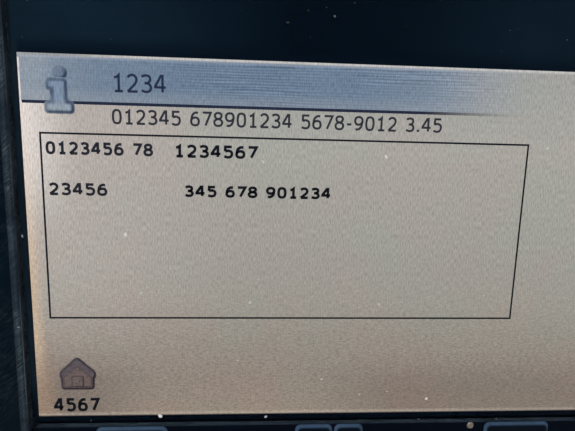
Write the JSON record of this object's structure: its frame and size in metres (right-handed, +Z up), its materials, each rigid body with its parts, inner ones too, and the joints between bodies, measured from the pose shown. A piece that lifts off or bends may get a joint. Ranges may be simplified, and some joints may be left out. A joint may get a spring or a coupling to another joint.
{
  "type": "in-cab machine control display",
  "caption": "Dark in-cab machine display with a lit landscape screen, a row of keys and a finned housing, on a swivel and tilt bracket.",
  "frame": {"origin": "centre of the underside of the bracket's base, where it is bolted to the console", "axes": "+Z up along the swivel axis, the screen looks along -Y at rest, +X to the viewer's right"},
  "size_m": [0.1912, 0.1387, 0.2238],
  "materials": {
    "cast_grey": "black textured powder coat on cast aluminium",
    "housing_coat": "fine textured dark grey powder coat on cast aluminium",
    "steel": "zinc plated steel",
    "friction": "pressed fibre",
    "knob_black": "black moulded nylon",
    "seal": "black silicone rubber",
    "frame_black": "black moulded plastic with light wear",
    "glass": "clear cover glass with a black printed border",
    "screen": "lit liquid crystal screen",
    "mat": "black silicone mat",
    "key": "dark moulded key cap",
    "lamp": "clear brownish lens",
    "connector": "black glass-filled nylon",
    "gold": "gold plated contact",
    "nickel": "nickel plated brass",
    "cap": "black rubber cap"
  },
  "bodies": {
    "base": {"base_flange": "cast_grey"},
    "arm": {"swivel_arm": "cast_grey", "tilt_bolt": "steel", "tilt_washers": "steel", "tilt_knob": "knob_black", "friction_discs": "friction", "clamp_screw": "steel", "clamp_knob": "knob_black"},
    "display": {"tilt_bracket": "cast_grey", "rear_housing": "housing_coat", "housing_seal": "seal", "front_bezel": "frame_black", "cover_glass": "glass", "screen_module": "screen", "key_mat": "mat", "key_1": "key", "key_minus": "key", "key_plus": "key", "key_2": "key", "status_lamp": "lamp", "housing_screws": "steel", "plate_screws": "steel", "main_header": "connector", "header_contacts": "gold", "socket_left": "nickel", "socket_middle": "nickel", "socket_right": "nickel", "socket_contacts": "gold", "dust_cap": "cap", "vent_plug": "knob_black", "ground_stud": "steel", "service_socket": "nickel", "door_pin": "steel"},
    "port_lid": {"port_door": "knob_black", "door_gasket": "seal"}
  },
  "joints": [
    {"name": "base_swivel", "type": "hinge", "parent": "base", "child": "arm", "pos_m": [0, 0, 0.02], "axis": [0, 0, 1], "range_deg": [-90, 90]},
    {"name": "head_tilt", "type": "hinge", "parent": "arm", "child": "display", "pos_m": [0, -0.02, 0.15], "axis": [-1, 0, 0], "range_deg": [-15, 45]},
    {"name": "port_door_hinge", "type": "hinge", "parent": "display", "child": "port_lid", "pos_m": [0.08995, -0.0655, 0.20317], "axis": [0, -1, 0], "range_deg": [0, 110]}
  ]
}
